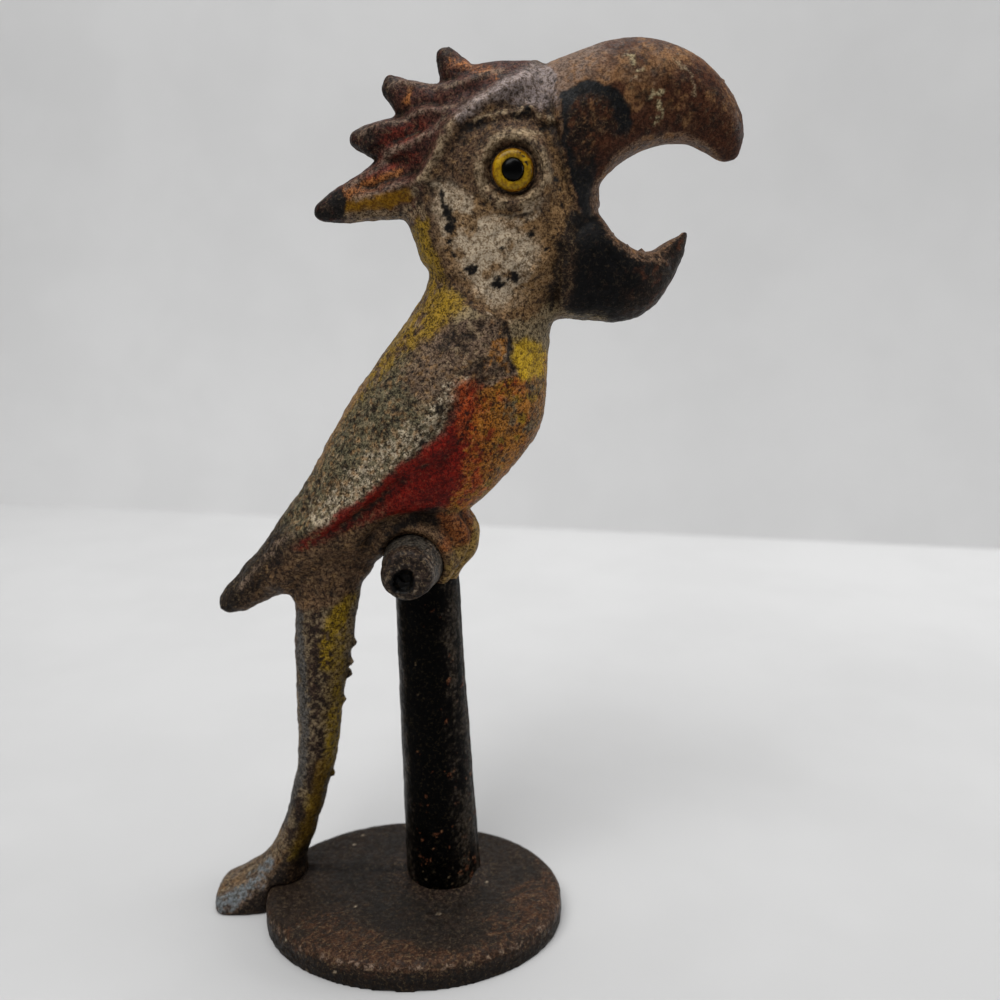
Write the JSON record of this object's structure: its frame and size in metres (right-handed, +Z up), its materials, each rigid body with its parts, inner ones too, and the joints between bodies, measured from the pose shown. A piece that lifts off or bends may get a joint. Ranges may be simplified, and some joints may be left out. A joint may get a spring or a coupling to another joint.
{
  "type": "figural bottle opener",
  "caption": "Painted cast-iron crested parrot on a perch with an oval foot; its wide-open hooked beak levers off crown caps.",
  "frame": {"origin": "on the ground under the middle of the oval foot's length, on the parting plane that runs down the middle of the bird", "axes": "+X the way the bird faces, +Z up, +Y to the bird's left"},
  "size_m": [0.0815, 0.0386, 0.1334],
  "materials": {
    "painted_bird": "worn enamel over sand-cast iron",
    "eye_yellow": "glossy enamel",
    "pupil_black": "satin enamel",
    "bar_iron": "worn black paint, bare on the ends",
    "post_black": "worn black enamel with rust specks",
    "foot_rust": "brown rust patina"
  },
  "bodies": {
    "root": {"bird_right_half": "painted_bird", "bird_left_half": "painted_bird", "right_eye_ring": "eye_yellow", "left_eye_ring": "eye_yellow", "eye_pin": "pupil_black", "perch_bar": "bar_iron", "perch_post": "post_black", "base_disc": "foot_rust"}
  },
  "joints": []
}
